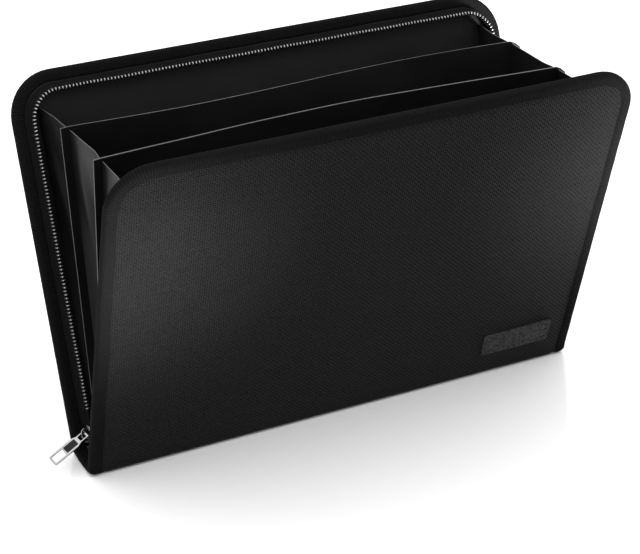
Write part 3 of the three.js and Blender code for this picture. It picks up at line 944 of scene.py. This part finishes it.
class FOLDER_OT_linings(bpy.types.Operator):
    """Smooth cloth inside both covers and over the spine"""

    bl_idname = "folder.linings"
    bl_label = "Linings"

    def execute(self, context):
        columns = 64
        for cover in SIDES:
            grid = []
            places = []
            for up in panel_rows(2.5 * MM, 4.5 * MM, CORNER - 4.5 * MM, 40):
                half = panel_half(up, 4.5 * MM, CORNER - 4.5 * MM)
                row = []
                for j in range(columns + 1):
                    x = half * (2 * j / columns - 1)
                    near = min(HALF_WIDTH - abs(x), COVER_HEIGHT - up)
                    swell = 0.5 * MM * smooth(near, 5 * MM, 25 * MM)
                    wave = 0.45 * MM * ripple(x * 1.4, up * 0.6, 2.0 * SIDES[cover], 0.045)
                    depth = 5.75 * MM + swell + wave * smooth(near, 8 * MM, 30 * MM)
                    row.append(cover_point(cover, x, depth, up))
                grid.append(row)
                places.append([(point.x, up) for point in row])
            panel = sheet_piece(cover + "_lining", grid, 0.5 * MM, [finish_of("lining")], (), places)
            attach(panel, cover + "_cover")
            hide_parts(cover + "_cover_lining")
        grid = []
        places = []
        for i in range(21):
            y = mixed(-10.2, 10.2, i / 20) * MM
            row = []
            for j in range(41):
                x = 170 * MM * (2 * j / 40 - 1)
                sag = 0.25 * MM * math.cos(2 * math.pi * y / LEAF_SPACING)
                sag += 0.1 * MM * ripple(x, y, 4.0, 0.03)
                row.append(Vector((x, y, 4.4 * MM - sag)))
            grid.append(row)
            places.append([(point.x, y) for point in row])
        floor = sheet_piece("spine_inner_lining", grid, 0.5 * MM, [finish_of("lining")], (), places)
        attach(floor, "spine")
        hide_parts("spine_lining")
        return {"FINISHED"}


# Zip

ZIP_LINE = [(7.0, 6.35), (8.2, 6.75), (9.4, 7.6), (10.1, 9.0), (10.45, 11.0), (10.55, 13.0), (10.6, 15.2)]


def zip_drift(step):
    """How much further in the zip lies round the corners and along the top, in millimetres."""
    return 1.6 * smooth(step[1], 203 * MM, 232 * MM)


class FOLDER_OT_zip(bpy.types.Operator):
    """Zip tapes and teeth round both covers"""

    bl_idname = "folder.zip"
    bl_label = "Zip"

    def execute(self, context):
        sizes = context.scene.folder_sizes
        section = thick_line(ZIP_LINE, 0.6)
        tooth = tooth_shape()
        stitch = stitch_shape(2.2 * MM, 0.36 * MM)
        for cover in SIDES:
            rings = []
            for step in edge_way(2 * MM, 4 * MM):
                wander = 0.35 * ripple(step[0], step[1], 7.0 * SIDES[cover], 0.03)
                ring = []
                for inset, depth in section:
                    free = smooth(depth, 7.5, 14)
                    inset += zip_drift(step) + wander * free
                    ring.append(way_point(cover, step, inset * MM, depth * MM))
                rings.append(ring)
            tape = tube_piece(cover + "_tape", rings, [finish_of("tape")])
            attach(tape, cover + "_cover")
            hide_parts(cover + "_zip_tape")
            outward = -leaf_normal(cover) * SIDES[cover]
            line = []
            for step in edge_way(sizes.teeth_foot, 3 * MM):
                wander = 0.35 * ripple(step[0], step[1], 7.0 * SIDES[cover], 0.03)
                inset = (10.6 + zip_drift(step) + wander) * MM
                line.append((way_point(cover, step, inset, 15.3 * MM), outward))
            teeth = repeated(cover + "_teeth", [line], tooth, sizes.tooth_pitch, finish_of("teeth"))
            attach(teeth, cover + "_cover")
            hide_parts(cover + "_zip_teeth")
            seam = []
            for step in edge_way(6 * MM, 4 * MM):
                side_out = way_point(cover, step, 0, 0) - way_point(cover, step, 1, 0)
                place = way_point(cover, step, (9.9 + zip_drift(step)) * MM, 10 * MM)
                seam.append((place, side_out.normalized()))
            row = repeated(
                cover + "_tape_stitches", [seam], stitch, sizes.stitch_pitch, finish_of("thread"),
                0.08, sizes.stitch_seed + 1,
            )
            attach(row, cover + "_cover")
        bpy.data.objects.remove(tooth)
        bpy.data.objects.remove(stitch)
        return {"FINISHED"}


# Dividers

class FOLDER_OT_dividers(bpy.types.Operator):
    """Two dividers of film with pale cut edges that also carry a painted highlight"""

    bl_idname = "folder.dividers"
    bl_label = "Dividers"

    def execute(self, context):
        sizes = context.scene.folder_sizes
        rows = 30
        columns = 96

        def rear(x):
            share = max(-1, min(1, x / POCKET_HALF))
            return sizes.rear_wave * math.sin(math.pi * share) * (1 + 0.15 * share)

        def front(x):
            share = max(-1, min(1, x / POCKET_HALF))
            return sizes.front_bow * math.cos(math.pi / 2 * share) ** 1.2

        plans = [
            ("rear_divider", "rear", rear, "back_cover_fold"),
            ("front_divider", "middle", front, "front_cover_fold"),
        ]
        for node, leaf, bulge, joint in plans:
            grid = []
            places = []
            for i in range(rows + 1):
                up = mixed(0.3 * MM, DIVIDER_HEIGHT, i / rows)
                rise = (up / DIVIDER_HEIGHT) ** 1.5
                row = []
                for j in range(columns + 1):
                    x = DIVIDER_HALF * (2 * j / columns - 1)
                    flange = smooth(abs(x), POCKET_HALF, DIVIDER_HALF)
                    wave = 0.5 * MM * ripple(x, up * 0.5, FEET[leaf] * 100, 0.05) * rise
                    cut = 4.5 if x > 0 else 0.5
                    dip = -cut * MM * flange * smooth(up, 190 * MM, DIVIDER_HEIGHT)
                    row.append(leaf_point(leaf, x, bulge(x) * rise + wave, up + dip))
                grid.append(row)
                places.append([(point.x, up) for point in row])
            # The top and side rims get the pale edge finish, partly a painted highlight
            materials = [finish_of("film"), finish_of("edge")]
            name = node + "_film"
            panel = sheet_piece(name, grid, 1.2 * MM, materials, ("high", "first", "last"), places)
            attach(panel, node)
            leaf_point(leaf, 0, 0, 0)
            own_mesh(panel)
            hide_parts(node)
        return {"FINISHED"}


# Gussets

# Nearer to the front divider, so that the halves stay apart when one cover closes alone
MIDDLE_CREASE = 0.71


def face_line(leaf, facing, share):
    """Where a gusset meets a leaf's face. facing is 1 for the face towards the back."""
    cover = leaf in SIDES
    top = 216 * MM if cover else 210 * MM
    up = mixed(2.5 * MM, top, share)
    out = (6.6 if cover else 0.9) * MM
    half = GUSSET_COVER_HALF if cover else POCKET_HALF
    return leaf_point(leaf, half, facing * out, up)


def crease_point(rear, front, share):
    """The strip keeps its width, so its crease goes deeper where the leaves close up."""
    start = face_line(rear, -1, share)
    end = face_line(front, 1, share)
    wide = (face_line(rear, -1, 1) - face_line(front, 1, 1)).length
    strip = wide / 2 * 1.012
    half = (end - start).length / 2
    middle = start.lerp(end, MIDDLE_CREASE if rear == "rear" else 0.5)
    depth = math.sqrt(max(strip * strip - half * half, 0))
    middle.x -= depth * mixed(0.92, 0.3, smooth(share, 0.6, 1.0))
    return middle


class FOLDER_OT_gussets(bpy.types.Operator):
    """Six pleated gussets, each as two halves that meet at its crease"""

    bl_idname = "folder.gussets"
    bl_label = "Gussets"

    def execute(self, context):
        gussets = {
            "rear": [
                ("back", -1, "back_cover", "back_cover_fold", 0.1, "rear_half"),
                ("rear", 1, "rear_divider", "back_cover_fold", 0.1, "front_half"),
            ],
            "middle": [
                ("rear", -1, "rear_divider", "back_cover_fold", 0.1, "rear_half"),
                ("middle", 1, "front_divider", "front_cover_fold", 0.25, "front_half"),
            ],
            "front": [
                ("middle", -1, "front_divider", "front_cover_fold", 0.1, "rear_half"),
                ("front", 1, "front_cover", "front_cover_fold", 0.1, "front_half"),
            ],
        }
        rows = 36
        columns = 10
        # The top rim gets the pale edge finish, partly a painted highlight
        materials = [finish_of("film"), finish_of("edge")]
        for end, side in (("left", -1), ("right", 1)):
            for gusset, halves in gussets.items():
                node = f"{end}_{gusset}_gusset"
                rear, front = halves[0][0], halves[1][0]
                for leaf, facing, body, joint, keep, label in halves:
                    grid = []
                    places = []
                    for i in range(rows + 1):
                        share = i / rows
                        start = face_line(leaf, facing, share)
                        crease = crease_point(rear, front, share)
                        run = crease - start
                        bulge = Vector((run.y, -run.x, 0)).normalized()
                        if bulge.x < 0:
                            bulge = -bulge
                        row = []
                        for j in range(columns + 1):
                            part = j / columns
                            puff = 1.3 * math.sin(math.pi * part) * (1 - 0.9 * share)
                            ridge = (part - 0.3 - 0.25 * (1 - share)) / 0.13
                            puff += 1.6 * math.exp(-ridge * ridge) * (1 - smooth(share, 0.8, 1.0))
                            puff += 0.5 * ripple(part * 0.03, share * 0.2, FEET[leaf] * 50 + side, 0.03)
                            soft = math.sin(math.pi * min(1, part * 1.2))
                            row.append(start + run * part + bulge * puff * soft * MM)
                        grid.append([Vector((side * p.x, p.y, p.z)) for p in row])
                        places.append([(k * 2.5 * MM, share * 0.21) for k in range(columns + 1)])
                    piece = sheet_piece(f"{node}_{label}", grid, 0.6 * MM, materials, ("high",), places)
                    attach(piece, body)
                    anchor = leaf_point(leaf, 0, facing * (6.6 if leaf in SIDES else 0.9) * MM, 0)
                    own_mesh(piece)
                    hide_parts(node)
        return {"FINISHED"}


# Slider and pull

ROW_X = -164.5 * MM
SLIDER_FOOT = 3.6 * MM
SLIDER_LENGTH = 10 * MM
PIVOT_OUT = 1.7 * MM + 1.2 * MM + 1.9 * MM


def back_frame(x, up):
    """A matrix with the cover's height as Y, the way out of the folder's end as Z, at the teeth row."""
    rise = (leaf_point("back", 0, 0, 1) - leaf_point("back", 0, 0, 0)).normalized()
    out = Vector((-1, 0, 0))
    across = rise.cross(out)
    place = cover_point("back", x, 17.5 * MM, up)
    turned = Matrix((across, rise, out)).transposed().to_4x4()
    return Matrix.Translation(place) @ turned


class FOLDER_OT_slider(bpy.types.Operator):
    """Zip slider with its bridge, and the pull with its window"""

    bl_idname = "folder.slider"
    bl_label = "Slider and pull"

    def execute(self, context):
        metal = [finish_of("metal")]
        outline = [
            (-2.1, 0.4), (-1.6, 0), (1.6, 0), (2.1, 0.4), (2.7, 2.4), (3.4, 5.2), (3.5, 7.4), (3.2, 8.9),
            (2.4, 9.8), (0.8, 10.0), (0, 9.3), (-0.8, 10.0), (-2.4, 9.8), (-3.2, 8.9), (-3.5, 7.4),
            (-3.4, 5.2), (-2.7, 2.4),
        ]
        outline = [(x * MM, y * MM) for x, y in outline]
        parts = []
        for out in (2.3, -2.3):
            place = back_frame(ROW_X, SLIDER_FOOT) @ Matrix.Translation((0, 0, out * MM))
            parts.append(flat_piece("plate", outline, [], 1.2 * MM, 0.35 * MM, place, metal))
        post = round_rectangle(-0.5 * MM, 7.0 * MM, 0.5 * MM, 9.4 * MM, 0.3 * MM, 3)
        parts.append(flat_piece("post", post, [], 5.2 * MM, 0.1 * MM, back_frame(ROW_X, SLIDER_FOOT), metal))
        arch = [
            (0, -4.0), (2.6, -4.0), (3.9, -3.5), (4.7, -2.6), (5.0, -1.4), (5.0, 1.4), (4.7, 2.6),
            (3.9, 3.5), (2.6, 4.0), (0, 4.0), (0, 2.9), (2.5, 2.9), (3.4, 2.4), (3.9, 1.3), (3.9, -1.3),
            (3.4, -2.4), (2.5, -2.9), (0, -2.9),
        ]
        arch = [(x * MM, y * MM) for x, y in arch]
        upright = back_frame(ROW_X, SLIDER_FOOT + SLIDER_LENGTH / 2)
        turned = upright @ Matrix.Translation((0, 0, 2.6 * MM)) @ Matrix.Rotation(-math.pi / 2, 4, "Y")
        parts.append(flat_piece("bridge", arch, [], 1.3 * MM, 0.25 * MM, turned, metal))
        slider = joined("slider_body", parts)
        slider.data.shade_smooth()
        slider.data.set_sharp_from_angle(angle=math.radians(35))
        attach(slider, "zip_slider")
        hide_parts("zip_slider")

        half = 3.8 * MM
        neck = 2.7 * MM
        near = -0.7 * MM
        far = 27.3 * MM
        frame_ring = [
            (near, -neck + 0.5 * MM), (near + 0.5 * MM, -neck), (5.8 * MM, -neck), (8.6 * MM, -half),
            (far - 1 * MM, -half), (far, -half + 1 * MM), (far, half - 1 * MM), (far - 1 * MM, half),
            (8.6 * MM, half), (5.8 * MM, neck), (near + 0.5 * MM, neck), (near, neck - 0.5 * MM),
        ]
        slot_hole = round_rectangle(0.7 * MM, -1.7 * MM, 5.3 * MM, 1.7 * MM, 0.65 * MM)
        window = round_rectangle(17.5 * MM, -2.5 * MM, 26.0 * MM, 2.5 * MM, 0.5 * MM)
        droop = math.radians(26)
        twist = math.radians(45)
        pivot = back_frame(ROW_X, SLIDER_FOOT + SLIDER_LENGTH / 2) @ Matrix.Translation((0, 0, PIVOT_OUT))
        lean = math.radians(LEANS["back"])
        rise = Vector((0, math.sin(lean), math.cos(lean)))
        outward = Vector((-1, 0, 0))
        along = outward * math.cos(droop) - rise * math.sin(droop)
        above = outward * math.sin(droop) + rise * math.cos(droop)
        broad = leaf_normal("back") * math.cos(twist) + above * math.sin(twist)
        face = along.cross(broad)
        turn = Matrix((along, broad, face)).transposed().to_4x4()
        place = Matrix.Translation(pivot.translation) @ turn
        parts = [flat_piece("frame", frame_ring, [slot_hole, window], 1.2 * MM, 0.25 * MM, place, metal)]
        inlay = round_rectangle(7.6 * MM, -2.4 * MM, 16.6 * MM, 2.4 * MM, 0.4 * MM)
        middle = flat_piece("pull_inlay", inlay, [], 1.5 * MM, 0.15 * MM, place, [finish_of("inlay")])
        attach(middle, "zip_pull")
        pull = joined("pull_tab", parts)
        pull.data.shade_smooth()
        pull.data.set_sharp_from_angle(angle=math.radians(35))
        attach(pull, "zip_pull")
        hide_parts("zip_pull")
        return {"FINISHED"}


# Label

class FOLDER_OT_label(bpy.types.Operator):
    """A bare label patch with an embossed rim"""

    bl_idname = "folder.label"
    bl_label = "Label patch"

    def execute(self, context):
        left, foot = 103 * MM, 15.1 * MM
        width, height = 52 * MM, 18 * MM
        levels = [
            (0.0, 0.4), (0.0, -1.5), (0.12, -1.85), (0.4, -2.0), (1.2, -2.0), (1.45, -1.85), (1.6, -1.6),
            (2.0, -1.55), (2.6, -1.55), (2.75, -1.7), (3.1, -1.7), (3.25, -1.55), (4.2, -1.6),
        ]
        rings = []
        for inset, depth in levels:
            inset *= MM
            radius = max(1.6 * MM - inset, 0.25 * MM)
            corner = (left + width - inset, foot + height - inset)
            ring = round_rectangle(left + inset, foot + inset, *corner, radius)
            rings.append([cover_point("front", x, depth * MM, up) for x, up in ring])
        patch = tube_piece("label_plate", rings, [finish_of("label")], sharp=60)
        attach(patch, "front_cover")
        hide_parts("label_patch")
        return {"FINISHED"}


# Boards

class FOLDER_OT_boards(bpy.types.Operator):
    """Finish of the stiffener boards inside the covers and the spine"""

    bl_idname = "folder.boards"
    bl_label = "Boards"

    def execute(self, context):
        for name in ("back_cover_board", "front_cover_board", "spine_board"):
            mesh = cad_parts[name].data
            mesh.materials.clear()
            mesh.materials.append(finish_of("board"))
        return {"FINISHED"}


# Stage

CAMERA_PLACE = Vector((-0.5112, -1.0107, 0.6997))
CAMERA_YAW = math.radians(26.547)
CAMERA_PITCH = math.radians(28.175)
CAMERA_LENS = 112.11


def add_light(name, place, target, width, height, power, spread=180):
    light = bpy.data.lights.new(name, "AREA")
    light.shape = "RECTANGLE"
    light.size = width
    light.size_y = height
    light.energy = power
    light.spread = math.radians(spread)
    obj = bpy.data.objects.new(name, light)
    obj.location = place
    obj.rotation_mode = "QUATERNION"
    obj.rotation_quaternion = (Vector(target) - Vector(place)).to_track_quat("-Z", "Y")
    obj.visible_camera = False
    bpy.context.scene.collection.objects.link(obj)
    return obj


class FOLDER_OT_stage(bpy.types.Operator):
    """Pale floor, soft lights and the camera"""

    bl_idname = "folder.stage"
    bl_label = "Stage"

    def execute(self, context):
        scene = context.scene
        reach = 6.0
        mesh = bpy.data.meshes.new("floor")
        corners = [(-reach, -reach, 0), (reach, -reach, 0), (reach, reach, 0), (-reach, reach, 0)]
        mesh.from_pydata(corners, [], [(0, 1, 2, 3)])
        floor = linked("floor", mesh, [floor_finish("Pale floor", scene.folder_colours.floor)])
        forward = Vector((
            math.sin(CAMERA_YAW) * math.cos(CAMERA_PITCH),
            math.cos(CAMERA_YAW) * math.cos(CAMERA_PITCH),
            -math.sin(CAMERA_PITCH),
        ))
        right = Vector((math.cos(CAMERA_YAW), -math.sin(CAMERA_YAW), 0))
        up = right.cross(forward)
        data = bpy.data.cameras.new("camera")
        data.sensor_width = 36
        data.lens = CAMERA_LENS
        data.clip_start = 0.05
        data.clip_end = 50
        camera = bpy.data.objects.new("camera", data)
        turned = Matrix((right, up, -forward)).transposed().to_4x4()
        camera.matrix_world = Matrix.Translation(CAMERA_PLACE) @ turned
        scene.collection.objects.link(camera)
        scene.camera = camera
        add_light("left softbox", (-0.14, -0.4, 0.04), (-0.18, -0.05, 0.17), 0.12, 0.06, 0.3, 36)
        add_light("right softbox", (0.3, -0.42, 0.04), (0.24, -0.05, 0.17), 0.12, 0.06, 0.7, 36)
        add_light("top softbox", (0.0, 0.3, 2.6), (0, 0.3, 0), 5, 5, 120)
        world = bpy.data.worlds.new("studio")
        world.use_nodes = True
        world.node_tree.nodes["Background"].inputs[0].default_value = (1, 1, 1, 1)
        world.node_tree.nodes["Background"].inputs[1].default_value = 1.05
        scene.world = world
        scene.view_settings.view_transform = "Standard"
        return {"FINISHED"}


class FOLDER_PT_sidebar(bpy.types.Panel):
    bl_label = "Expanding file folder"
    bl_idname = "FOLDER_PT_sidebar"
    bl_space_type = "VIEW_3D"
    bl_region_type = "UI"
    bl_category = "Folder"

    def draw(self, context):
        for group in (context.scene.folder_sizes, context.scene.folder_colours):
            for name in group.__annotations__:
                self.layout.prop(group, name)
        for operator in OPERATORS:
            self.layout.operator(operator.bl_idname)


OPERATORS = (
    FOLDER_OT_outer_cloth,
    FOLDER_OT_bindings,
    FOLDER_OT_linings,
    FOLDER_OT_zip,
    FOLDER_OT_dividers,
    FOLDER_OT_gussets,
    FOLDER_OT_slider,
    FOLDER_OT_label,
    FOLDER_OT_boards,
    FOLDER_OT_stage,
)
CLASSES = (FolderSizes, FolderColours, *OPERATORS, FOLDER_PT_sidebar)


def register():
    for kind in CLASSES:
        bpy.utils.register_class(kind)
    bpy.types.Scene.folder_sizes = PointerProperty(type=FolderSizes)
    bpy.types.Scene.folder_colours = PointerProperty(type=FolderColours)


def unregister():
    del bpy.types.Scene.folder_colours
    del bpy.types.Scene.folder_sizes
    for kind in reversed(CLASSES):
        bpy.utils.unregister_class(kind)


def main():
    register()
    bpy.ops.folder.outer_cloth()
    bpy.ops.folder.bindings()
    bpy.ops.folder.linings()
    bpy.ops.folder.zip()
    bpy.ops.folder.dividers()
    bpy.ops.folder.gussets()
    bpy.ops.folder.slider()
    bpy.ops.folder.label()
    bpy.ops.folder.boards()
    bpy.ops.folder.stage()


if __name__ == "__main__":
    main()
